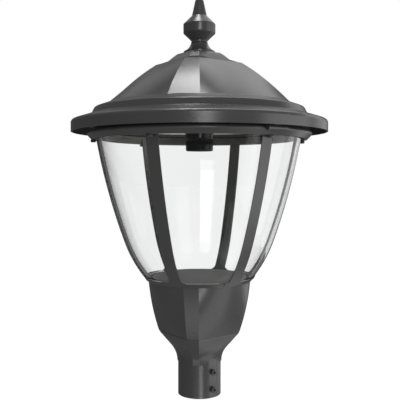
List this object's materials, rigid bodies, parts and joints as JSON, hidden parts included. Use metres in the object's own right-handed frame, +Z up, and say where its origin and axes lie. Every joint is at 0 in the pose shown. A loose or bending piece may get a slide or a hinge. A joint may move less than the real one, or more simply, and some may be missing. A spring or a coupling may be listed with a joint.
{
  "type": "post top lantern",
  "caption": "Post-top area light: faceted tulip base with post socket, ribbed cage, clear bowl, hinged bell roof with finial.",
  "frame": {"origin": "centre of the post socket's mouth, at the bottom of the fitter tube", "axes": "+Z up along the post axis, -Y to the front, where the set screws and the roof hinge are"},
  "size_m": [0.4529, 0.453, 0.702],
  "materials": {
    "dark_grey_paint": "satin powder coat, dark neutral grey",
    "dark_screws": "blackened steel",
    "zinc_screws": "zinc plated steel",
    "zinc_plate": "zinc plated sheet",
    "black_plastic": "matt black polyamide",
    "gear_case": "matt aluminium case",
    "terminal_plastic": "matt off-white polyamide",
    "cover_sheet": "satin light grey paint",
    "seal_rubber": "matt black silicone rubber",
    "clear_glass": "clear, polished",
    "hammered_aluminium": "bright hammered sheet",
    "holder_black": "black phenolic, semi gloss",
    "contact_brass": "nickel-free brass"
  },
  "bodies": {
    "lantern_body": {"base_housing": "dark_grey_paint", "post_screws": "dark_screws", "cable_gland": "black_plastic", "control_gear": "gear_case", "terminal_block": "terminal_plastic", "cage": "dark_grey_paint", "cage_screws": "zinc_screws", "gear_cover": "cover_sheet", "foot_gasket": "seal_rubber", "glass_bowl": "clear_glass", "top_gasket": "seal_rubber", "clamp_ring": "dark_grey_paint", "clamp_screws": "dark_screws", "hinge_bracket": "dark_grey_paint", "hinge_screws": "dark_screws", "hinge_pin": "dark_screws"},
    "roof_assembly": {"roof": "dark_grey_paint", "roof_gasket": "seal_rubber", "hinge_leaf": "dark_grey_paint", "leaf_screws": "dark_screws", "reflector": "hammered_aluminium", "reflector_screws": "zinc_screws", "holder_bracket": "zinc_plate", "bracket_screws": "zinc_screws", "lamp_holder": "holder_black", "holder_screws": "zinc_screws", "screw_shell": "contact_brass", "centre_contact": "contact_brass", "crown_cap": "dark_grey_paint", "finial_collar": "dark_grey_paint", "finial": "dark_grey_paint", "finial_stud": "zinc_screws", "finial_washer": "zinc_screws", "finial_nut": "zinc_screws"},
    "latch": {"latch_screw": "dark_screws"}
  },
  "joints": [
    {"name": "roof_hinge", "type": "hinge", "parent": "lantern_body", "child": "roof_assembly", "pos_m": [0, -0.20299, 0.461], "axis": [1, 0, 0], "range_deg": [0, 75]},
    {"name": "latch_travel", "type": "slide", "parent": "lantern_body", "child": "latch", "axis": [0, 0, -1], "range_m": [0, 0.009]}
  ]
}
